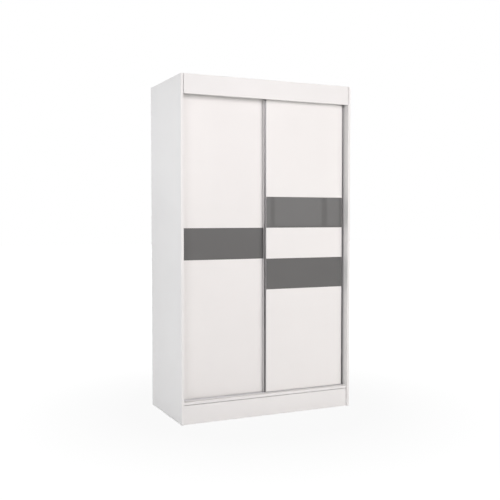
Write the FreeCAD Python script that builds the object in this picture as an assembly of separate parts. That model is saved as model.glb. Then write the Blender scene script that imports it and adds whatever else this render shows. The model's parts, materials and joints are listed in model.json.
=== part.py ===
import FreeCAD, Part
import os

# A wardrobe with two sliding doors. Millimetres, +Z up, X along the front, +Y towards the wall behind it.
# The origin is on the floor, at the centre of the footprint.

V = FreeCAD.Vector
RIGHT = V(1, 0, 0)
LEFT = V(-1, 0, 0)
BACK = V(0, 1, 0)
FRONT = V(0, -1, 0)
UP = V(0, 0, 1)
DOWN = V(0, 0, -1)

# Carcass
width = 1200.0
depth = 600.0
height = 2150.0
board = 16.0                # thickness of every laminated board
back_board = 3.0            # hardboard back
edge_radius = 0.8           # visible board edges
plinth_height = 118.6
bottom_level = 122.0        # underside of the bottom panel
base_setback = 10.0         # plinth and bottom panel stand behind the side panels' front edges
fascia_height = 120.0
fascia_end_gap = 3.0
rear_plinth_inset = 11.0    # from the carcass's rear edge
divider_front = -200.0
shelf_front = -190.0
shelf_side_gap = 0.8        # loose shelves
back_border = 2.0           # the back panels stop short of the outline
back_bottom = 112.0
back_joint_gap = 1.0        # between the two back panels
hat_shelf_level = 1815.0    # underside

# Doors
door_width = 602.0
door_bottom = 144.0
door_top = 2081.0
front_door_face = -250.0    # the right door, on the front track
track_pitch = 21.0          # the left door, on the rear track, is this much further back
side_clearance = 0.5        # closed door to side panel
profile_width = 17.0
profile_wall = 1.5
profile_lip = 3.0
profile_cap = 1.5
tongue_length = 8.0         # holds the profile in a slot in the board's edge
tongue_thickness = 3.0
groove_depth = 8.0          # finger groove in the front
groove_fillet = 2.5
channel_half_slot = 2.3     # brush channel in the rear
glass_thickness = 4.0
glass_bevel = 0.4
tape_thickness = 0.5
tape_height = 25.0
tape_end_inset = 10.0
tape_edge_inset = 15.0
strip_height = 200.0
fit_gap = 0.1               # between a let-in piece and its recess
brush_base_half_width = 3.5
brush_base = 1.0
brush_pile_half_width = 2.0
brush_reach = 4.4           # pile beyond the profile

# Running gear
runner_inset = 70.0         # centre of rollers and guides from a door's edge
flange_half_length = 34.0
flange_thickness = 2.0
flange_screw_offset = 27.0
gear_half_width = 5.0       # housings and guides in the board's edge
housing_half_length = 18.0
housing_height = 32.0
wheel_slot_half_length = 14.5
wheel_slot_half_width = 3.0
wheel_slot_height = 24.5
wheel_radius = 13.0
wheel_tread_radius = 11.5
wheel_half_width = 2.5
wheel_groove_half_width = 1.2
wheel_groove_flare = 0.6
wheel_hub_radius = 4.5
wheel_rim_radius = 10.1     # inside of the rim
wheel_web_half_width = 1.7
wheel_web_flare = 0.5
axle_radius = 2.0
axle_fit = 0.02
running_clearance = 0.06
rail_clearance = 0.3        # wheel tread above the rail
guide_neck = 2.0
guide_head_height = 20.0
guide_head_half_width = 9.25
guide_head_fillet = 2.0
track_end_gap = 1.0
top_track_height = 38.0
top_track_wall = 1.5
top_track_web = 2.0
bottom_track_base = 1.4
bottom_track_height = 4.2
bottom_track_rib = 1.6
bottom_track_margin = 8.0   # base beyond each rib
stop_plate = 4.0
stop_length = 30.0
stop_tab = 6.0
stop_depth = 40.0
stop_half_width = 8.5
track_screw_places = (-480.0, -240.0, 0.0, 240.0, 480.0)

# Fittings
screw_length = 15.0
screw_radius = 1.75
screw_head_radius = 3.5
screw_head_height = 1.8
screw_rim = 0.3
screw_tip = 3.0
recess_reach = 1.8
recess_half_width = 0.4
recess_depth = 1.2
hole_clearance = 0.05
blind_clearance = 0.5       # a hole is deeper than what it holds
cam_radius = 7.5
cam_height = 12.3
cam_inset = 34.0            # cam centre from the board's end
cam_bolt_radius = 3.0
cam_bolt_play = 0.5         # round the bolt in the level board
cam_thread_radius = 2.5
cam_thread_length = 10.0
cam_grip = 4.0              # bolt head inside the cam
cam_slot_half_length = 4.0
cam_slot_half_width = 0.6
cam_slot_depth = 2.0
cam_rows = (-100.0, 200.0)
dowel_radius = 4.0
dowel_length = 30.0
dowel_in_upright = 10.5
dowel_point_radius = 3.2
dowel_point_length = 1.2
dowel_step = 32.0           # dowel beside its cam bolt
divider_dowel_rows = (-150.0, 50.0, 250.0)
fascia_dowel_places = (-500.0, -170.0, 170.0, 500.0)
pin_radius = 2.5
pin_reach = 8.0
pin_collar = 1.0
pin_rows = (-150.0, 255.0)
pin_step = 32.0             # spare pin holes above and below
rail_width = 15.0
rail_height = 30.0
rail_wall = 1.3
rail_drop = 40.0            # rail centre under the hat shelf
rail_y = 50.0
socket_length = 12.0
socket_wall = 3.0
socket_gap = 0.15
rail_end_gap = 0.5
bracket_plate = 3.0
bracket_half_width = 12.0
bracket_half_height = 29.0
bracket_screw_offset = 23.0
block_leg = 18.0
block_wall = 4.0
block_height = 30.0
block_rib = 3.0
fascia_block_rise = 35.0    # above the fascia's lower edge
plinth_block_level = 60.0
rail_block_levels = (35.0, 85.0)
anchor_x = 450.0
anchor_half_width = 15.0
anchor_leg = 42.0
anchor_wall = 2.0
wall_hole_radius = 4.0
wall_hole_drop = 26.0       # below the top panel's underside
anchor_screw_inset = 28.0   # from the back panels
anchor_screw_spread = 8.0
nail_radius = 0.75
nail_length = 20.0
nail_tip = 2.0
nail_head_radius = 3.0
nail_head_height = 0.6
nail_pitch = 178.0
nail_start = 18.0           # above the bottom panel
divider_nail_offset = 4.0
edge_nail_places = (150.0, 300.0, 400.0)

# Planes that follow
front = -depth / 2
rear = depth / 2
carcass_rear = rear - back_board
inner = width / 2 - board
base_front = front + base_setback
floor_level = bottom_level + board
ceiling = height - board
fascia_rear = front + board
rear_plinth_rear = carcass_rear - rear_plinth_inset
rear_plinth_front = rear_plinth_rear - board
plinth_rear = base_front + board
rear_door_face = front_door_face + track_pitch
track_lines = (front_door_face + board / 2, rear_door_face + board / 2)
door_middle = (door_bottom + door_top) / 2
bay_height = (ceiling - floor_level - board) / 2
fixed_shelf_level = floor_level + bay_height
compartment = (bay_height - 2 * board) / 3
rail_z = hat_shelf_level - rail_drop
axle_level = floor_level + bottom_track_height + rail_clearance + wheel_tread_radius
guide_top = door_top + guide_neck + guide_head_height
same_place = 0.01           # tolerance when an edge is picked

os.makedirs("parts", exist_ok=True)
drillings = {}
groups = {}


def box(x0, x1, y0, y1, z0, z1):
    """A block between two values on each axis, in either order."""
    low = V(min(x0, x1), min(y0, y1), min(z0, z1))
    return Part.makeBox(abs(x1 - x0), abs(y1 - y0), abs(z1 - z0), low)


def turned(section, at, direction):
    """A solid of revolution from (radius, distance along the axis) points."""
    points = [V(radius, 0, along) for radius, along in section]
    solid = Part.Face(Part.makePolygon(points + points[:1])).revolve(V(0, 0, 0), UP, 360)
    solid.Placement = FreeCAD.Placement(at, FreeCAD.Rotation(UP, direction))
    return solid


def prism(points, along):
    """A straight bar with a polygon for its section."""
    return Part.Face(Part.makePolygon(points + points[:1])).extrude(along)


def drill(name, tool):
    """Note a hole or a recess that is cut from a board when it is saved."""
    drillings.setdefault(name, []).append(tool)


def collect(name, piece):
    """Put a small piece with its identical neighbours."""
    groups.setdefault(name, []).append(piece)


def save(name, shape):
    """Cut a sub-part's noted holes and write its file."""
    if name in drillings:
        shape = shape.cut(drillings[name])
    shape.exportStep("parts/" + name + ".step")


def soften(shape):
    """Round the edges of a board's front face."""
    edges = [e for e in shape.Edges if abs(e.BoundBox.YMax - shape.BoundBox.YMin) < same_place]
    return shape.makeFillet(edge_radius, edges)


# Fasteners

def screw_section(grow):
    """Half section of a countersunk screw, or of its hole when grown."""
    shank = screw_radius + grow
    return [(0, 0), (screw_head_radius + grow, 0), (screw_head_radius + grow, screw_rim),
            (shank, screw_head_height), (shank, screw_length - screw_tip), (0, screw_length + grow)]


def screw(group, at, direction, through):
    """A countersunk screw with a cross recess, and its hole in each named piece."""
    body = turned(screw_section(0), V(0, 0, 0), UP)
    for across, along in ((recess_reach, recess_half_width), (recess_half_width, recess_reach)):
        body = body.cut(box(-across, across, -along, along, 0, recess_depth))
    body.Placement = FreeCAD.Placement(at, FreeCAD.Rotation(UP, direction))
    collect(group, body)
    for name in through:
        drill(name, turned(screw_section(hole_clearance), at, direction))


def cam_joint(level_board, upright, face_x, outward, y, underside):
    """Cam lock, cam bolt and dowel between a level board's end and an upright.

    face_x is the plane where they meet, and outward points from the board to the upright.
    """
    sign = outward.x
    middle = underside + board / 2
    cam_at = V(face_x - sign * cam_inset, y, underside)
    shank_length = cam_inset - cam_radius + cam_grip
    shank_at = V(face_x - sign * shank_length, y, middle)
    cam = Part.makeCylinder(cam_radius - hole_clearance, cam_height, cam_at, UP)
    pocket = Part.makeCylinder(cam_bolt_radius + hole_clearance, cam_radius * 2, shank_at, outward)
    slot = box(cam_at.x - cam_slot_half_length, cam_at.x + cam_slot_half_length,
               y - cam_slot_half_width, y + cam_slot_half_width, underside, underside + cam_slot_depth)
    collect("cam_locks", cam.cut([pocket, slot]))
    drill(level_board, Part.makeCylinder(cam_radius, cam_height + blind_clearance, cam_at, UP))
    shank = Part.makeCylinder(cam_bolt_radius, shank_length, shank_at, outward)
    thread = Part.makeCylinder(cam_thread_radius, cam_thread_length, V(face_x, y, middle), outward)
    collect("cam_bolts", shank.fuse(thread))
    drill(level_board, Part.makeCylinder(cam_bolt_radius + cam_bolt_play, shank_length, shank_at, outward))
    thread_hole = cam_thread_radius + hole_clearance
    thread_depth = cam_thread_length + blind_clearance
    drill(upright, Part.makeCylinder(thread_hole, thread_depth, V(face_x, y, middle), outward))
    dowel(V(face_x, y + dowel_step, middle), outward, level_board, upright)


def dowel(joint, into, long_side, short_side):
    """A beech dowel across a joint: its longer part in one board, the rest in the other."""
    long_part = dowel_length - dowel_in_upright
    start = joint - into * long_part
    section = [(0, 0), (dowel_point_radius, 0), (dowel_radius, dowel_point_length),
               (dowel_radius, dowel_length - dowel_point_length), (dowel_point_radius, dowel_length),
               (0, dowel_length)]
    collect("dowels", turned(section, start, into))
    hole = dowel_radius + hole_clearance
    long_hole = long_part + blind_clearance
    drill(long_side, Part.makeCylinder(hole, long_hole, joint - into * long_hole, into))
    drill(short_side, Part.makeCylinder(hole, dowel_in_upright + blind_clearance, joint, into))


def corner_block(corner_x, side, face_y, away, z, upright, cross_board):
    """A ribbed plastic angle with a screw into each of the two boards that it joins.

    side points from the upright along X, and away from the cross board along Y.
    """
    sx = side.x
    sy = away.y
    low = z - block_height / 2
    high = z + block_height / 2
    on_cross = box(corner_x, corner_x + sx * block_leg, face_y, face_y + sy * block_wall, low, high)
    on_upright = box(corner_x, corner_x + sx * block_wall, face_y, face_y + sy * block_leg, low, high)
    block = on_cross.fuse(on_upright)
    for rib_low in (low, high - block_rib):
        corners = [V(corner_x, face_y, rib_low), V(corner_x + sx * block_leg, face_y, rib_low),
                   V(corner_x, face_y + sy * block_leg, rib_low)]
        block = block.fuse(prism(corners, V(0, 0, block_rib)))
    name = "corner_blocks_tools"
    drillings[name] = []
    centre = (block_wall + block_leg) / 2
    into_upright = V(corner_x + sx * block_wall, face_y + sy * centre, z)
    into_cross = V(corner_x + sx * centre, face_y + sy * block_wall, z)
    screw("carcass_screws", into_upright, side * -1, [name, upright])
    screw("carcass_screws", into_cross, away * -1, [name, cross_board])
    collect("corner_blocks", block.removeSplitter().cut(drillings.pop(name)))


# Carcass boards

def carcass():
    """The fixed boards."""
    for name, x0 in (("left_side_panel", -width / 2), ("right_side_panel", inner)):
        save(name, soften(box(x0, x0 + board, front, carcass_rear, 0, height)))
    save("top_panel", box(-inner, inner, fascia_rear, carcass_rear, ceiling, height))
    save("bottom_panel", soften(box(-inner, inner, base_front, carcass_rear, bottom_level, floor_level)))
    save("centre_divider", box(-board / 2, board / 2, divider_front, carcass_rear, floor_level, ceiling))
    save("front_plinth", soften(box(-inner, inner, base_front, plinth_rear, 0, plinth_height)))
    save("rear_plinth", box(-inner, inner, rear_plinth_front, rear_plinth_rear, 0, bottom_level))
    save("plinth_centre_rail",
         box(-board / 2, board / 2, plinth_rear, rear_plinth_front, 0, bottom_level))
    fascia_half = inner - fascia_end_gap
    save("fascia", soften(box(-fascia_half, fascia_half, front, fascia_rear, height - fascia_height, height)))
    outer = width / 2 - back_border
    middle = back_joint_gap / 2
    for name, x0, x1 in (("back_panel_left", -outer, -middle), ("back_panel_right", middle, outer)):
        save(name, box(x0, x1, carcass_rear, rear, back_bottom, height - back_border))


def shelves():
    """Fixed shelf, loose shelves and hat shelf."""
    save("fixed_shelf", box(-inner, -board / 2, shelf_front, carcass_rear,
                            fixed_shelf_level, fixed_shelf_level + board))
    for number, level in enumerate(loose_shelf_levels(), start=1):
        save("adjustable_shelf_" + str(number),
             soften(box(-inner + shelf_side_gap, -board / 2 - shelf_side_gap,
                        shelf_front, carcass_rear - shelf_side_gap, level, level + board)))
    save("hat_shelf", box(board / 2, inner, shelf_front, carcass_rear,
                          hat_shelf_level, hat_shelf_level + board))


def loose_shelf_levels():
    """Undersides of the four loose shelves, which divide the space above and below the fixed one evenly."""
    step = compartment + board
    low = floor_level + compartment
    high = fixed_shelf_level + board + compartment
    return [low, low + step, high, high + step]


# Fittings of the carcass

def board_joints():
    """Cams, bolts and dowels of the level boards, and the dowels of divider and fascia."""
    for y in cam_rows:
        for side, face_x, outward in (("left_side_panel", -inner, LEFT), ("right_side_panel", inner, RIGHT)):
            cam_joint("top_panel", side, face_x, outward, y, ceiling)
            cam_joint("bottom_panel", side, face_x, outward, y, bottom_level)
        cam_joint("fixed_shelf", "left_side_panel", -inner, LEFT, y, fixed_shelf_level)
        cam_joint("fixed_shelf", "centre_divider", -board / 2, RIGHT, y, fixed_shelf_level)
        cam_joint("hat_shelf", "centre_divider", board / 2, LEFT, y, hat_shelf_level)
        cam_joint("hat_shelf", "right_side_panel", inner, RIGHT, y, hat_shelf_level)
    for y in divider_dowel_rows:
        dowel(V(0, y, ceiling), UP, "centre_divider", "top_panel")
        dowel(V(0, y, floor_level), DOWN, "centre_divider", "bottom_panel")
    for x in fascia_dowel_places:
        dowel(V(x, fascia_rear, height - board / 2), FRONT, "top_panel", "fascia")


def shelf_supports():
    """Steel pins under the loose shelves, with a spare hole above and below each."""
    collar = pin_radius + pin_collar
    section = [(0, -pin_reach), (pin_radius, -pin_reach), (pin_radius, 0), (collar, 0),
               (collar, pin_collar), (pin_radius, pin_collar), (pin_radius, pin_reach), (0, pin_reach)]
    for level in loose_shelf_levels():
        for y in pin_rows:
            for upright, face_x, inward in (("left_side_panel", -inner, RIGHT),
                                            ("centre_divider", -board / 2, LEFT)):
                centre = V(face_x, y, level - collar)
                collect("shelf_pins", turned(section, centre, inward))
                for shift in (-pin_step, 0, pin_step):
                    drill(upright, Part.makeCylinder(pin_radius + hole_clearance, pin_reach + blind_clearance,
                                                     centre + V(0, 0, shift), inward * -1))


def angle_blocks():
    """Corner blocks of the fascia and of both plinths."""
    for side, corner_x, inward in (("left_side_panel", -inner, RIGHT), ("right_side_panel", inner, LEFT)):
        fascia_level = height - fascia_height + fascia_block_rise
        corner_block(corner_x, inward, fascia_rear, BACK, fascia_level, side, "fascia")
        corner_block(corner_x, inward, plinth_rear, BACK, plinth_block_level, side, "front_plinth")
        corner_block(corner_x, inward, rear_plinth_front, FRONT, plinth_block_level, side, "rear_plinth")
    for sign, away, level in ((-1, LEFT, rail_block_levels[0]), (1, RIGHT, rail_block_levels[1])):
        corner_x = sign * board / 2
        corner_block(corner_x, away, plinth_rear, BACK, level, "plinth_centre_rail", "front_plinth")
        corner_block(corner_x, away, rear_plinth_front, FRONT, level, "plinth_centre_rail", "rear_plinth")


def oval_bar(wide, high, x0, x1):
    """A bar along X on the hanging rail's line, with flat sides and round edges."""
    radius = wide / 2
    rise = high / 2 - radius
    left = rail_y - radius
    right = rail_y + radius
    low = rail_z - rise
    top = rail_z + rise
    outline = [Part.LineSegment(V(x0, left, low), V(x0, left, top)),
               Part.Arc(V(x0, left, top), V(x0, rail_y, top + radius), V(x0, right, top)),
               Part.LineSegment(V(x0, right, top), V(x0, right, low)),
               Part.Arc(V(x0, right, low), V(x0, rail_y, low - radius), V(x0, left, low))]
    wire = Part.Wire([part.toShape() for part in outline])
    return Part.Face(wire).extrude(V(x1 - x0, 0, 0))


def hanging_rail():
    """Oval tube between two socket brackets."""
    start = board / 2 + bracket_plate + rail_end_gap
    end = inner - bracket_plate - rail_end_gap
    tube = oval_bar(rail_width, rail_height, start, end)
    bore = oval_bar(rail_width - 2 * rail_wall, rail_height - 2 * rail_wall, start, end)
    save("hanging_rail", tube.cut(bore))
    for upright, face_x, inward in (("centre_divider", board / 2, RIGHT), ("right_side_panel", inner, LEFT)):
        sign = inward.x
        plate_face = face_x + sign * bracket_plate
        plate = box(face_x, plate_face, rail_y - bracket_half_width, rail_y + bracket_half_width,
                    rail_z - bracket_half_height, rail_z + bracket_half_height)
        socket_end = plate_face + sign * socket_length
        collar = oval_bar(rail_width + 2 * socket_wall, rail_height + 2 * socket_wall, plate_face, socket_end)
        socket = oval_bar(rail_width + 2 * socket_gap, rail_height + 2 * socket_gap, plate_face, socket_end)
        name = "bracket_tools"
        drillings[name] = []
        for z in (rail_z - bracket_screw_offset, rail_z + bracket_screw_offset):
            screw("carcass_screws", V(plate_face, rail_y, z), inward * -1, [name, upright])
        collect("rail_brackets", plate.fuse(collar).cut([socket] + drillings.pop(name)))


def wall_anchors():
    """Steel angles under the top panel, with a hole to the wall through the back panel."""
    wall_z = ceiling - wall_hole_drop
    for x, back in ((-anchor_x, "back_panel_left"), (anchor_x, "back_panel_right")):
        level_leg = box(x - anchor_half_width, x + anchor_half_width,
                        carcass_rear - anchor_leg, carcass_rear, ceiling - anchor_wall, ceiling)
        wall_leg = box(x - anchor_half_width, x + anchor_half_width,
                       carcass_rear - anchor_wall, carcass_rear, ceiling - anchor_leg, ceiling)
        hole = Part.makeCylinder(wall_hole_radius, anchor_wall + back_board,
                                 V(x, carcass_rear - anchor_wall, wall_z), BACK)
        drill(back, hole)
        name = "anchor_tools"
        drillings[name] = [hole]
        for shift in (-anchor_screw_spread, anchor_screw_spread):
            at = V(x + shift, carcass_rear - anchor_screw_inset, ceiling - anchor_wall)
            screw("carcass_screws", at, UP, [name, "top_panel"])
        collect("wall_anchor_brackets", level_leg.fuse(wall_leg).removeSplitter().cut(drillings.pop(name)))


def back_nails():
    """Flat-headed nails round the edge of each back panel, with heads flush."""
    def section(grow):
        shank = nail_radius + grow
        return [(0, 0), (nail_head_radius + grow, 0), (nail_head_radius + grow, nail_head_height + grow),
                (shank, nail_head_height + grow), (shank, nail_length - nail_tip), (0, nail_length + grow)]

    places = []
    edge = width / 2 - board / 2
    steps = int((ceiling - floor_level) / nail_pitch) + 1
    for step in range(steps):
        z = floor_level + nail_start + step * nail_pitch
        for sign, back, side in ((-1, "back_panel_left", "left_side_panel"),
                                 (1, "back_panel_right", "right_side_panel")):
            places += [(sign * edge, z, back, side), (sign * divider_nail_offset, z, back, "centre_divider")]
    for x in edge_nail_places:
        for z, target in ((height - board / 2, "top_panel"), (bottom_level + board / 2, "bottom_panel")):
            places += [(-x, z, "back_panel_left", target), (x, z, "back_panel_right", target)]
    for x, z, back, target in places:
        at = V(x, rear, z)
        collect("back_panel_nails", turned(section(0), at, FRONT))
        for name in (back, target):
            drill(name, turned(section(hole_clearance), at, FRONT))


def tracks():
    """Top and bottom aluminium tracks and the top track's end stops."""
    half = inner - track_end_gap
    first_leg = track_lines[0] - track_pitch / 2
    legs = [first_leg, first_leg + track_pitch, first_leg + 2 * track_pitch]
    web = box(-half, half, legs[0] - top_track_wall / 2, legs[2] + top_track_wall / 2,
              ceiling - top_track_web, ceiling)
    ribs = [box(-half, half, y - top_track_wall / 2, y + top_track_wall / 2,
                ceiling - top_track_height, ceiling - top_track_web) for y in legs]
    for x in track_screw_places:
        for y in track_lines:
            screw("carcass_screws", V(x, y, ceiling - top_track_web), UP, ["top_track", "top_panel"])
        screw("carcass_screws", V(x, legs[1], floor_level + bottom_track_base), DOWN,
              ["bottom_track", "bottom_panel"])

    head_end = inner - side_clearance - runner_inset + housing_half_length
    for sign in (-1, 1):
        for y in track_lines:
            x0 = sign * (head_end + rail_clearance)
            x1 = x0 + sign * stop_length
            roof = ceiling - top_track_web
            plate = box(x0, x1, y - stop_half_width, y + stop_half_width, roof - stop_plate, roof)
            tab = box(x0, x0 + sign * stop_tab, y - stop_half_width, y + stop_half_width,
                      roof - stop_depth, roof - stop_plate)
            name = "stop_tools"
            drillings[name] = []
            at = V((x0 + x1) / 2 + sign * stop_tab / 2, y, roof - stop_plate)
            screw("carcass_screws", at, UP, [name, "top_track", "top_panel"])
            collect("track_end_stops", plate.fuse(tab).removeSplitter().cut(drillings.pop(name)))

    save("top_track", web.fuse(ribs).removeSplitter())
    base = box(-half, half, track_lines[0] - bottom_track_margin, track_lines[1] + bottom_track_margin,
               floor_level, floor_level + bottom_track_base)
    rails = [box(-half, half, y - bottom_track_rib / 2, y + bottom_track_rib / 2,
                 floor_level + bottom_track_base, floor_level + bottom_track_height) for y in track_lines]
    save("bottom_track", base.fuse(rails).removeSplitter())


# Doors

def handle_profile(outer_x, inward, face_y):
    """Aluminium edge profile: a finger groove that opens to the front, and behind it a brush channel.

    inward is 1 or -1: the way from the door's outer edge to its board along X.
    """
    wall = profile_wall
    inside = profile_width - wall
    floor = groove_depth
    channel_front = floor + wall
    channel_rear = board - wall
    slot_near = profile_width / 2 - channel_half_slot
    slot_far = profile_width / 2 + channel_half_slot
    tongue_front = (board - tongue_thickness) / 2
    tongue_rear = tongue_front + tongue_thickness
    groove = [(0, 0), (profile_lip, 0), (profile_lip, wall), (wall, wall), (wall, floor), (inside, floor),
              (inside, 0), (profile_width, 0)]
    tongue = [(profile_width, tongue_front), (profile_width + tongue_length, tongue_front),
              (profile_width + tongue_length, tongue_rear), (profile_width, tongue_rear)]
    channel = [(profile_width, board), (slot_far, board), (slot_far, channel_rear), (inside, channel_rear),
               (inside, channel_front), (wall, channel_front), (wall, channel_rear),
               (slot_near, channel_rear), (slot_near, board), (0, board)]
    section = groove + tongue + channel
    low = door_bottom + profile_cap
    points = [V(outer_x + inward * across, face_y + deep, low) for across, deep in section]
    bar = prism(points, V(0, 0, door_top - profile_cap - low))
    groove_corners = [(wall, floor), (inside, floor)]
    edges = [e for e in bar.Edges for across, deep in groove_corners
             if abs(e.CenterOfMass.x - outer_x - inward * across) < same_place
             and abs(e.CenterOfMass.y - face_y - deep) < same_place]
    return bar.makeFillet(groove_fillet, edges)


def wheel(x, y):
    """A grooved nylon wheel that runs on a rib of the bottom track."""
    half = wheel_half_width
    web = wheel_web_half_width
    groove = wheel_groove_half_width
    front_half = [(axle_radius + running_clearance, -half), (wheel_hub_radius, -half),
                  (wheel_hub_radius + wheel_web_flare, -web), (wheel_rim_radius - wheel_web_flare, -web),
                  (wheel_rim_radius, -half), (wheel_radius, -half),
                  (wheel_radius, -groove - wheel_groove_flare), (wheel_tread_radius, -groove)]
    rear_half = [(radius, -along) for radius, along in reversed(front_half)]
    return turned(front_half + rear_half, V(x, y, axle_level), BACK)


def roller_housing(door, x, y):
    """A nylon housing let into the door's bottom edge, with its axle and two screws."""
    level = door_bottom
    flange = box(x - flange_half_length, x + flange_half_length, y - gear_half_width, y + gear_half_width,
                 level, level + flange_thickness)
    body = box(x - housing_half_length, x + housing_half_length, y - gear_half_width, y + gear_half_width,
               level + flange_thickness, level + housing_height)
    slot = box(x - wheel_slot_half_length, x + wheel_slot_half_length,
               y - wheel_slot_half_width, y + wheel_slot_half_width, level, level + wheel_slot_height)
    axle_at = V(x, y - gear_half_width, axle_level)
    axle = Part.makeCylinder(axle_radius, 2 * gear_half_width, axle_at, BACK)
    axle_hole = Part.makeCylinder(axle_radius + axle_fit, 2 * gear_half_width, axle_at, BACK)
    collect(door + "_roller_axles", axle)
    name = "housing_tools"
    drillings[name] = [slot, axle_hole]
    for offset in (-flange_screw_offset, flange_screw_offset):
        screw(door + "_screws", V(x + offset, y, level), UP, [name, door + "_board"])
    collect(door + "_roller_housings", flange.fuse(body).removeSplitter().cut(drillings.pop(name)))
    gap = fit_gap
    drill(door + "_board", box(x - flange_half_length - gap, x + flange_half_length + gap,
                               y - gear_half_width - gap, y + gear_half_width + gap,
                               level, level + flange_thickness + gap))
    drill(door + "_board", box(x - housing_half_length - gap, x + housing_half_length + gap,
                               y - gear_half_width - gap, y + gear_half_width + gap,
                               level, level + housing_height + gap))


def top_guide(door, x, y):
    """A nylon slider let into the door's top edge, whose head runs in the top track."""
    flange = box(x - flange_half_length, x + flange_half_length, y - gear_half_width, y + gear_half_width,
                 door_top - flange_thickness, door_top)
    neck = box(x - housing_half_length, x + housing_half_length, y - gear_half_width, y + gear_half_width,
               door_top, door_top + guide_neck)
    head = box(x - housing_half_length, x + housing_half_length,
               y - guide_head_half_width, y + guide_head_half_width, door_top + guide_neck, guide_top)
    top_edges = [e for e in head.Edges if abs(e.CenterOfMass.z - guide_top) < same_place]
    head = head.makeFillet(guide_head_fillet, top_edges)
    name = "guide_tools"
    drillings[name] = []
    for offset in (-flange_screw_offset, flange_screw_offset):
        screw(door + "_screws", V(x + offset, y, door_top), DOWN, [name, door + "_board"])
    collect(door + "_top_guides", head.fuse([neck, flange]).removeSplitter().cut(drillings.pop(name)))
    drill(door + "_board", box(x - flange_half_length - fit_gap, x + flange_half_length + fit_gap,
                               y - gear_half_width - fit_gap, y + gear_half_width + fit_gap,
                               door_top - flange_thickness - fit_gap, door_top))


def glass_strip(door, name, low, x0, x1, face_y):
    """A lacquered glass strip, flush in a recess across the board, on two bands of tape."""
    high = low + strip_height
    save(name, soften_glass(box(x0, x1, face_y, face_y + glass_thickness, low, high)))
    tape_front = face_y + glass_thickness
    drill(door + "_board", box(x0, x1, face_y, tape_front + tape_thickness, low, high))
    for z in (low + tape_edge_inset, high - tape_edge_inset - tape_height):
        collect(door + "_glass_tape", box(x0 + tape_end_inset, x1 - tape_end_inset,
                                          tape_front, tape_front + tape_thickness, z, z + tape_height))


def soften_glass(pane):
    """Grind the pane's two long front edges."""
    face_y = pane.BoundBox.YMin
    edges = [e for e in pane.Edges
             if abs(e.BoundBox.YMax - face_y) < same_place and e.BoundBox.XLength > glass_thickness]
    return pane.makeChamfer(glass_bevel, edges)


def door(name, left_x, face_y, strips):
    """All the pieces of one door. strips gives each glass strip's node name and lower edge."""
    right_x = left_x + door_width
    middle_y = face_y + board / 2
    board_left = left_x + profile_width
    board_right = right_x - profile_width
    tongue_gap = tongue_thickness / 2 + fit_gap
    for side, outer_x, inward in (("left", left_x, 1), ("right", right_x, -1)):
        save(name + "_" + side + "_profile", handle_profile(outer_x, inward, face_y))
        inner_x = outer_x + inward * profile_width
        drill(name + "_board", box(inner_x, inner_x + inward * (tongue_length + fit_gap),
                                   middle_y - tongue_gap, middle_y + tongue_gap, door_bottom, door_top))
        for z in (door_bottom, door_top - profile_cap):
            collect(name + "_profile_caps", box(outer_x, inner_x, face_y, face_y + board, z, z + profile_cap))
        runner_x = outer_x + inward * runner_inset
        save(name + "_" + side + "_wheel", wheel(runner_x, middle_y))
        roller_housing(name, runner_x, middle_y)
        top_guide(name, runner_x, middle_y)
    for strip, low in strips:
        glass_strip(name, strip, low, board_left, board_right, face_y)
    save(name + "_board", box(board_left, board_right, face_y, face_y + board, door_bottom, door_top))


def dust_brush(left_x, face_y):
    """A pile strip in the channel of the front door's overlapping profile, close to the rear door's face."""
    rear_face = face_y + board
    middle_x = left_x + profile_width / 2
    low = door_bottom + profile_cap
    high = door_top - profile_cap
    base_rear = rear_face - profile_wall
    base = box(middle_x - brush_base_half_width, middle_x + brush_base_half_width,
               base_rear - brush_base, base_rear, low, high)
    pile = box(middle_x - brush_pile_half_width, middle_x + brush_pile_half_width,
               base_rear, rear_face + brush_reach, low, high)
    save("right_door_dust_brush", base.fuse(pile).removeSplitter())


board_joints()
shelf_supports()
angle_blocks()
hanging_rail()
wall_anchors()
back_nails()
tracks()
carcass()
shelves()
closed_edge = inner - side_clearance
door("left_door", -closed_edge, rear_door_face, [("left_door_glass_strip", door_middle - strip_height / 2)])
door("right_door", closed_edge - door_width, front_door_face,
     [("right_door_upper_glass_strip", door_middle + strip_height / 2),
      ("right_door_lower_glass_strip", door_middle - 1.5 * strip_height)])
dust_brush(closed_edge - door_width, front_door_face)
for group, pieces in groups.items():
    Part.makeCompound(pieces).exportStep("parts/" + group + ".step")
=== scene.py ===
import bmesh
import bpy
import json
import math
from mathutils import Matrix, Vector

# Looks of a white wardrobe with two sliding doors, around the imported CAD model. Metres, +Z up.

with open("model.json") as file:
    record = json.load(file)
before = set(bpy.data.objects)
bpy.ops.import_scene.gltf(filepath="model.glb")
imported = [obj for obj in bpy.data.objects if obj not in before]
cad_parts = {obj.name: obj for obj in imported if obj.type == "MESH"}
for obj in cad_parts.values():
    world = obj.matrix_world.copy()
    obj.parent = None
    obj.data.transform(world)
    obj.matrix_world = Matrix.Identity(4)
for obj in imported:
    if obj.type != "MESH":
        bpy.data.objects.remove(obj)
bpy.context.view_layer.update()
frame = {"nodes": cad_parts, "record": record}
nodes = frame["nodes"]
scene = bpy.context.scene

# Camera
SENSOR_WIDTH = 36.0             # millimetres, like the lens
LENS = 54.78
CAMERA_PLACE = (-2.1574, -4.6717, 1.2784)
CAMERA_PITCH = 87.557           # degrees, 90 is level
CAMERA_TURN = -24.770           # degrees from straight at the doors

# Boards
CARCASS_WHITE = (0.83, 0.823, 0.81)
DOOR_WHITE = (0.84, 0.828, 0.812)
CARCASS_DULL = 0.42             # roughness
DOOR_DULL = 0.36
RAW_EDGE_PLANE = 0.2965         # the side panels' rear edges lie just beyond it
LOOKS_BACK = 0.7                # a face whose normal has a larger Y looks backwards
LOOKS_FORWARD = -0.5            # a face whose normal has a smaller Y looks forwards

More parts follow.
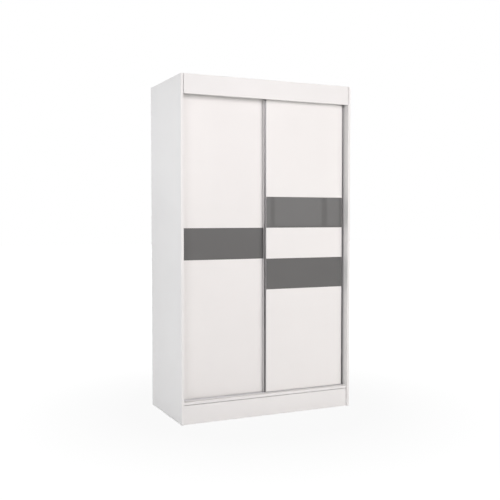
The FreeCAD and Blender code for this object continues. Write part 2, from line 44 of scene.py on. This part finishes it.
# Lights
WORLD_STRENGTH = 0.21
MIDDLE = (0.0, 0.0, 1.1)        # what most of the lights aim at
WINDOW_PLANE = -4.8
WINDOW_LOW = 1.17
WINDOW_HIGH = 2.6
WINDOW_PANES = ((2.20, 2.28), (2.34, 3.05), (3.14, 3.32))
WINDOW_GLOW = 0.76              # radiance

# Floor and backdrop
FLOOR_HALF = 30.0
BACKDROP_RADIUS = 40.0
NEAR_RADIUS = 0.8               # the floor's own glow rises between these two
FAR_RADIUS = 2.6
NEAR_GLOW = 0.87
FAR_GLOW = 1.0

# Places of the Mix node's sockets for colours
MIX_FACTOR = 0
MIX_FIRST = 6
MIX_SECOND = 7
MIX_RESULT = 2


# Camera and colour

def make_camera():
    """A camera at the front left, at about chest height, that looks slightly down."""
    data = bpy.data.cameras.new("camera")
    data.sensor_width = SENSOR_WIDTH
    data.lens = LENS
    camera = bpy.data.objects.new("camera", data)
    camera.location = CAMERA_PLACE
    camera.rotation_euler = (math.radians(CAMERA_PITCH), 0.0, math.radians(CAMERA_TURN))
    scene.collection.objects.link(camera)
    scene.camera = camera


make_camera()
scene.view_settings.view_transform = "Standard"
scene.view_settings.look = "None"


# Node helpers

def add(tree, kind, settings=None, **inputs):
    """A new shader node. Inputs are values or sockets, named as on the node with _ for a space."""
    made = tree.nodes.new("ShaderNode" + kind)
    for key, value in (settings or {}).items():
        setattr(made, key, value)
    for key, value in inputs.items():
        put(tree, made.inputs[key.replace("_", " ")], value)
    return made


def put(tree, socket, value):
    """Link a socket to another one, or set its value."""
    if isinstance(value, bpy.types.NodeSocket):
        tree.links.new(value, socket)
    else:
        socket.default_value = value


def maths(tree, operation, first, second):
    """One step of arithmetic on two numbers or sockets."""
    made = tree.nodes.new("ShaderNodeMath")
    made.operation = operation
    put(tree, made.inputs[0], first)
    put(tree, made.inputs[1], second)
    return made.outputs[0]


def grade(tree, factor, low, high, from_low=0.0, from_high=1.0):
    """Map a number from one range to another, clamped."""
    made = add(tree, "MapRange", Value=factor, From_Min=from_low, From_Max=from_high,
               To_Min=low, To_Max=high)
    return made.outputs["Result"]


def mix_colour(tree, factor, first, second):
    """Blend two colours."""
    made = tree.nodes.new("ShaderNodeMix")
    made.data_type = "RGBA"
    put(tree, made.inputs[MIX_FACTOR], factor)
    put(tree, made.inputs[MIX_FIRST], first)
    put(tree, made.inputs[MIX_SECOND], second)
    return made.outputs[MIX_RESULT]


def place(tree, stretch=(1.0, 1.0, 1.0)):
    """Object coordinates, in metres, stretched along each axis."""
    coords = add(tree, "TexCoord").outputs["Object"]
    return add(tree, "Mapping", Vector=coords, Scale=stretch).outputs["Vector"]


def along_y(tree, output):
    """The Y part of the surface's place or normal, named as on the Texture Coordinate node."""
    vector = add(tree, "TexCoord").outputs[output]
    return add(tree, "SeparateXYZ", Vector=vector).outputs["Y"]


def noise(tree, vector, scale, detail=2.0, rough=0.5):
    """Fractal noise from 0 to 1."""
    made = add(tree, "TexNoise", Vector=vector, Scale=scale, Detail=detail, Roughness=rough)
    return made.outputs["Fac"]


def bump(tree, shader, height, distance, strength):
    """Relief of that height in metres."""
    made = add(tree, "Bump", Height=height, Distance=distance, Strength=strength)
    tree.links.new(made.outputs["Normal"], shader.inputs["Normal"])


def material(name, **sockets):
    """A new material with its shader's sockets set."""
    made = bpy.data.materials.new(name)
    made.use_nodes = True
    shader = made.node_tree.nodes["Principled BSDF"]
    for key, value in sockets.items():
        shader.inputs[key.replace("_", " ")].default_value = value
    return made, made.node_tree, shader


def colour_it(tree, shader, colour):
    """Link a colour to the shader."""
    tree.links.new(colour, shader.inputs["Base Color"])


def dull_it(tree, shader, roughness):
    """Link a roughness to the shader."""
    tree.links.new(roughness, shader.inputs["Roughness"])


def rgb(red, green, blue):
    """An opaque linear colour."""
    return (red, green, blue, 1.0)


def shaded(colour, factor):
    """A colour made darker or lighter by a factor."""
    return rgb(*(min(1.0, factor * channel) for channel in colour))


# Materials

def chipboard(tree, vector):
    """Colour of a raw chipboard edge: pale and dark flakes."""
    flakes = add(tree, "TexVoronoi", Vector=vector, Scale=420.0).outputs["Color"]
    spread = add(tree, "SeparateColor", Color=flakes).outputs[0]
    base = mix_colour(tree, spread, rgb(0.30, 0.19, 0.10), rgb(0.56, 0.42, 0.26))
    grain = noise(tree, vector, scale=1500.0, detail=3.0)
    return mix_colour(tree, grade(tree, grain, 0.0, 0.5), base, rgb(0.20, 0.12, 0.06))


def laminate(name, colour, dull, raw_plane=None):
    """White melamine laminate with a fine pearl texture.

    With raw_plane, faces that look backwards from beyond that Y are raw chipboard.
    """
    made, tree, shader = material(name, Specular_IOR_Level=0.4)
    vector = place(tree)
    cloud = noise(tree, vector, scale=2.2, detail=3.0)
    speck = noise(tree, vector, scale=900.0)
    cloudy = grade(tree, cloud, 0.0, 1.0, from_low=0.3, from_high=0.7)
    specked = grade(tree, speck, 0.0, 0.35, from_low=0.45, from_high=0.8)
    shade = mix_colour(tree, cloudy, shaded(colour, 0.975), rgb(*colour))
    shade = mix_colour(tree, specked, shade, shaded(colour, 0.95))
    if raw_plane is not None:
        facing = maths(tree, "GREATER_THAN", along_y(tree, "Normal"), LOOKS_BACK)
        beyond = maths(tree, "GREATER_THAN", along_y(tree, "Object"), raw_plane)
        raw = maths(tree, "MULTIPLY", facing, beyond)
        shade = mix_colour(tree, raw, shade, chipboard(tree, vector))
    colour_it(tree, shader, shade)
    smudge = noise(tree, vector, scale=6.0, detail=4.0)
    dull_it(tree, shader, grade(tree, smudge, dull - 0.05, dull + 0.06, from_low=0.3, from_high=0.7))
    pearl = noise(tree, vector, scale=1400.0, rough=0.6)
    bump(tree, shader, pearl, distance=0.00006, strength=0.5)
    return made


def hardboard():
    """Lacquered white inside, brown pressed fibre on the side to the wall."""
    made, tree, shader = material("hardboard", Specular_IOR_Level=0.3)
    vector = place(tree)
    fibre = noise(tree, place(tree, (1.0, 1.0, 2.4)), scale=260.0, detail=5.0, rough=0.65)
    patch = noise(tree, vector, scale=5.0, detail=3.0)
    fibrous = grade(tree, fibre, 0.0, 1.0, from_low=0.3, from_high=0.7)
    patchy = grade(tree, patch, 0.0, 0.35, from_low=0.4, from_high=0.8)
    brown = mix_colour(tree, fibrous, rgb(0.235, 0.135, 0.070), rgb(0.365, 0.225, 0.125))
    brown = mix_colour(tree, patchy, brown, rgb(0.28, 0.18, 0.105))
    white = mix_colour(tree, patch, rgb(0.76, 0.75, 0.73), rgb(0.79, 0.78, 0.76))
    outside = maths(tree, "GREATER_THAN", along_y(tree, "Normal"), LOOKS_FORWARD)
    colour_it(tree, shader, mix_colour(tree, outside, white, brown))
    dull_it(tree, shader, grade(tree, outside, 0.42, 0.68))
    bump(tree, shader, fibre, distance=0.0001, strength=0.6)
    return made


def grey_glass():
    """Float glass with grey lacquer behind it: a matt colour under a clear polished coat."""
    made, tree, shader = material("grey_glass", Roughness=0.55, Specular_IOR_Level=0.2,
                                  Coat_Weight=1.0, Coat_Roughness=0.025, Coat_IOR=1.52)
    vector = place(tree)
    lacquer = noise(tree, vector, scale=3.0, detail=3.0)
    fine = noise(tree, vector, scale=700.0)
    shade = mix_colour(tree, lacquer, rgb(0.139, 0.139, 0.136), rgb(0.150, 0.150, 0.147))
    shade = mix_colour(tree, grade(tree, fine, 0.0, 0.3), shade, rgb(0.130, 0.130, 0.128))
    colour_it(tree, shader, shade)
    wave = noise(tree, place(tree, (1.0, 1.0, 0.5)), scale=5.0)
    polish = add(tree, "Bump", Height=wave, Distance=0.00035, Strength=0.3)
    tree.links.new(polish.outputs["Normal"], shader.inputs["Coat Normal"])
    return made


def brushed(name, colour, dull, along, metal=1.0):
    """Satin metal with fine draw lines along one axis."""
    made, tree, shader = material(name, Metallic=metal, Anisotropic=0.35)
    squeeze = tuple(0.012 if axis == along else 1.0 for axis in "XYZ")
    lines = noise(tree, place(tree, squeeze), scale=2600.0, detail=3.0, rough=0.6)
    patch = noise(tree, place(tree), scale=9.0, detail=3.0)
    patchy = grade(tree, patch, 0.0, 0.25, from_low=0.4, from_high=0.8)
    shade = mix_colour(tree, lines, shaded(colour, 0.9), shaded(colour, 1.06))
    colour_it(tree, shader, mix_colour(tree, patchy, shade, shaded(colour, 0.88)))
    dull_it(tree, shader, grade(tree, lines, dull - 0.05, dull + 0.07))
    bump(tree, shader, lines, distance=0.00002, strength=0.5)
    return made


def plated(name, colour, dull, tint):
    """Zinc plating with a mottled passivated tint."""
    made, tree, shader = material(name, Metallic=1.0)
    mottle = noise(tree, place(tree), scale=320.0, detail=4.0, rough=0.6)
    colour_it(tree, shader, mix_colour(tree, mottle, rgb(*colour), rgb(*tint)))
    dull_it(tree, shader, grade(tree, mottle, dull - 0.06, dull + 0.1))
    bump(tree, shader, mottle, distance=0.00003, strength=0.4)
    return made


def moulded(name, colour, dull, grain, relief, soft=0.0):
    """Moulded plastic or rubber with a fine spark-eroded grain."""
    made, tree, shader = material(name, Subsurface_Weight=soft, Subsurface_Scale=0.002,
                                  Specular_IOR_Level=0.45)
    fine = noise(tree, place(tree), scale=grain, detail=3.0)
    wide = noise(tree, place(tree), scale=30.0)
    uneven = grade(tree, wide, 0.0, 1.0, from_low=0.3, from_high=0.7)
    colour_it(tree, shader, mix_colour(tree, uneven, shaded(colour, 0.93), rgb(*colour)))
    dull_it(tree, shader, grade(tree, fine, dull - 0.06, dull + 0.08))
    bump(tree, shader, fine, distance=relief, strength=0.5)
    return made


def beech():
    """Pale wood with grain along X and short dark flecks."""
    made, tree, shader = material("beech", Roughness=0.62)
    grain = noise(tree, place(tree, (0.05, 1.0, 1.0)), scale=900.0, detail=4.0, rough=0.6)
    fleck = noise(tree, place(tree, (0.2, 1.0, 1.0)), scale=2600.0)
    flecked = grade(tree, fleck, 0.0, 0.6, from_low=0.6, from_high=0.8)
    shade = mix_colour(tree, grain, rgb(0.42, 0.26, 0.14), rgb(0.60, 0.42, 0.25))
    colour_it(tree, shader, mix_colour(tree, flecked, shade, rgb(0.28, 0.15, 0.08)))
    bump(tree, shader, grain, distance=0.00008, strength=0.5)
    return made


def pile():
    """Grey nylon brush pile: fine fibres along Y."""
    made, tree, shader = material("brush_pile", Roughness=0.85, Sheen_Weight=0.4, Sheen_Roughness=0.5)
    fibre = noise(tree, place(tree, (1.0, 0.06, 1.0)), scale=3500.0, detail=3.0, rough=0.7)
    colour_it(tree, shader, mix_colour(tree, fibre, rgb(0.05, 0.05, 0.052), rgb(0.20, 0.20, 0.21)))
    bump(tree, shader, fibre, distance=0.0002, strength=0.9)
    return made


# The finish of each material slot of the CAD model.
finishes = {
    "white_laminate": laminate("white_laminate", CARCASS_WHITE, CARCASS_DULL),
    "door_white": laminate("door_laminate", DOOR_WHITE, DOOR_DULL),
    "white_hardboard": hardboard(),
    "grey_glass": grey_glass(),
    "aluminium": brushed("satin_aluminium", (0.68, 0.675, 0.675), dull=0.34, along="Z", metal=0.88),
    "chrome": brushed("chrome", (0.78, 0.78, 0.79), dull=0.10, along="X"),
    "zinc_steel": plated("zinc_steel", (0.60, 0.61, 0.62), dull=0.32, tint=(0.48, 0.49, 0.47)),
    "zinc_casting": plated("zinc_casting", (0.40, 0.40, 0.41), dull=0.48, tint=(0.31, 0.31, 0.32)),
    "white_nylon": moulded("white_nylon", (0.74, 0.73, 0.70), dull=0.42, grain=1800.0, relief=0.00002,
                           soft=0.15),
    "white_plastic": moulded("white_plastic", (0.78, 0.77, 0.75), dull=0.45, grain=1500.0, relief=0.00003,
                             soft=0.1),
    "grey_plastic": moulded("grey_plastic", (0.22, 0.22, 0.225), dull=0.5, grain=1500.0, relief=0.00003),
    "black_nylon": moulded("black_nylon", (0.030, 0.030, 0.031), dull=0.5, grain=1500.0, relief=0.00003),
    "black_rubber": moulded("black_rubber", (0.022, 0.022, 0.022), dull=0.72, grain=1100.0, relief=0.00005),
    "foam_tape": moulded("foam_tape", (0.10, 0.10, 0.10), dull=0.8, grain=2400.0, relief=0.00008),
    "beech": beech(),
    "brush_pile": pile(),
}

# Nodes with a finish of their own: the side panels show raw rear edges, and the tracks are drawn along X.
side_panel = laminate("side_panel_laminate", CARCASS_WHITE, CARCASS_DULL, RAW_EDGE_PLANE)
track = brushed("track_aluminium", (0.80, 0.80, 0.805), dull=0.38, along="X", metal=0.8)
own_finishes = {
    "left_side_panel": side_panel,
    "right_side_panel": side_panel,
    "top_track": track,
    "bottom_track": track,
}


def dress():
    """Give every CAD node its finish."""
    slots = {part["node"]: part["material_slot"] for part in frame["record"]["subparts"]}
    for name, node in nodes.items():
        node.data.materials.clear()
        node.data.materials.append(own_finishes.get(name, finishes[slots[name]]))


dress()


# Studio

def area_light(name, place_at, aim, size, power, colour=(1.0, 1.0, 1.0), in_gloss=True):
    """A rectangular softbox of that power in watts, which the camera doesn't see.

    Without in_gloss, no reflection shows it either.
    """
    data = bpy.data.lights.new(name, "AREA")
    data.shape = "RECTANGLE"
    data.size, data.size_y = size
    data.energy = power
    data.color = colour
    light = bpy.data.objects.new(name, data)
    light.location = place_at
    light.rotation_euler = (Vector(aim) - Vector(place_at)).to_track_quat("-Z", "Y").to_euler()
    light.visible_camera = False
    light.visible_glossy = in_gloss
    scene.collection.objects.link(light)


def studio():
    """A warm key and two fills from the front, fills from every other side, and a window to reflect."""
    world = bpy.data.worlds.new("studio")
    scene.world = world
    world.use_nodes = True
    background = world.node_tree.nodes["Background"]
    background.inputs["Color"].default_value = rgb(1.0, 1.0, 1.0)
    background.inputs["Strength"].default_value = WORLD_STRENGTH
    area_light("key", (0.4, -4.2, 2.6), (0.0, 0.0, 1.3), size=(3.0, 2.0), power=68.5,
               colour=(1.0, 0.94, 0.96))
    area_light("front_left_fill", (-4.2, -4.4, 2.8), MIDDLE, size=(2.5, 2.5), power=60.0,
               colour=(1.0, 0.97, 0.985))
    area_light("front_right_fill", (3.5, -5.0, 2.2), MIDDLE, size=(3.0, 2.6), power=91.5,
               colour=(1.0, 0.98, 0.94), in_gloss=False)
    area_light("left_fill", (-3.2, -0.1, 1.7), (-0.6, 0.0, 1.4), size=(1.8, 1.4), power=41.5,
               colour=(0.95, 0.962, 0.99))
    area_light("right_fill", (5.8, 0.8, 3.0), MIDDLE, size=(3.0, 3.0), power=125.0)
    area_light("back_fill", (0.0, 6.0, 3.2), MIDDLE, size=(3.0, 3.0), power=110.0)
    area_light("top_fill", (0.0, 0.25, 3.7), MIDDLE, size=(1.1, 0.8), power=16.0)
    window()


def window():
    """Panes of a tall window, out to the front right, that the glass strips mirror."""
    height = WINDOW_HIGH - WINDOW_LOW
    level = (WINDOW_LOW + WINDOW_HIGH) / 2.0
    for number, (left, right) in enumerate(WINDOW_PANES):
        width = right - left
        middle = (left + right) / 2.0
        area_light(f"window_{number}", (middle, WINDOW_PLANE, level), (middle, 0.0, level),
                   size=(width, height), power=WINDOW_GLOW * math.pi * width * height)


def ground(name, look):
    """A wide square in the floor's plane, centred on the origin."""
    half = FLOOR_HALF
    mesh = bpy.data.meshes.new(name)
    corners = [(-half, -half, 0.0), (half, -half, 0.0), (half, half, 0.0), (-half, half, 0.0)]
    mesh.from_pydata(corners, [], [(0, 1, 2, 3)])
    mesh.materials.append(look)
    made = bpy.data.objects.new(name, mesh)
    scene.collection.objects.link(made)
    return made


def shown_floor():
    """The pale floor that the camera sees, with a glow of its own that is weaker near the object."""
    look, tree, shader = material("floor", Roughness=0.8, Emission_Color=rgb(1.0, 1.0, 1.0))
    paper = noise(tree, place(tree), scale=300.0, detail=3.0)
    colour_it(tree, shader, mix_colour(tree, paper, rgb(0.42, 0.42, 0.42), rgb(0.46, 0.46, 0.46)))
    away = add(tree, "VectorMath", {"operation": "LENGTH"}, Vector=place(tree)).outputs["Value"]
    glow = grade(tree, away, NEAR_GLOW, FAR_GLOW, from_low=NEAR_RADIUS, from_high=FAR_RADIUS)
    tree.links.new(glow, shader.inputs["Emission Strength"])
    return ground("floor", look)


def bounce_floor():
    """The plain floor that light bounces off, in the same place and out of the camera's sight."""
    look = material("bounce", Base_Color=rgb(0.8, 0.8, 0.8), Roughness=0.9, Specular_IOR_Level=0.0)[0]
    made = ground("bounce", look)
    made.visible_camera = False
    return made


def backdrop():
    """A white sphere round the whole scene."""
    look = material("backdrop", Base_Color=rgb(0.0, 0.0, 0.0), Emission_Color=rgb(1.0, 1.0, 1.0),
                    Emission_Strength=1.0, Specular_IOR_Level=0.0)[0]
    mesh = bpy.data.meshes.new("backdrop")
    shell = bmesh.new()
    bmesh.ops.create_uvsphere(shell, u_segments=48, v_segments=24, radius=BACKDROP_RADIUS)
    shell.to_mesh(mesh)
    shell.free()
    mesh.materials.append(look)
    made = bpy.data.objects.new("backdrop", mesh)
    scene.collection.objects.link(made)
    return made


def sweep():
    """Floor and backdrop. What the camera sees of them is overexposed and takes no part in the lighting."""
    floor = shown_floor()
    bounce = bounce_floor()
    surround = backdrop()
    for unseen in (floor, surround):
        unseen.visible_diffuse = False
        unseen.visible_glossy = False
        unseen.visible_transmission = False
        unseen.visible_volume_scatter = False
        unseen.visible_shadow = False


studio()
sweep()
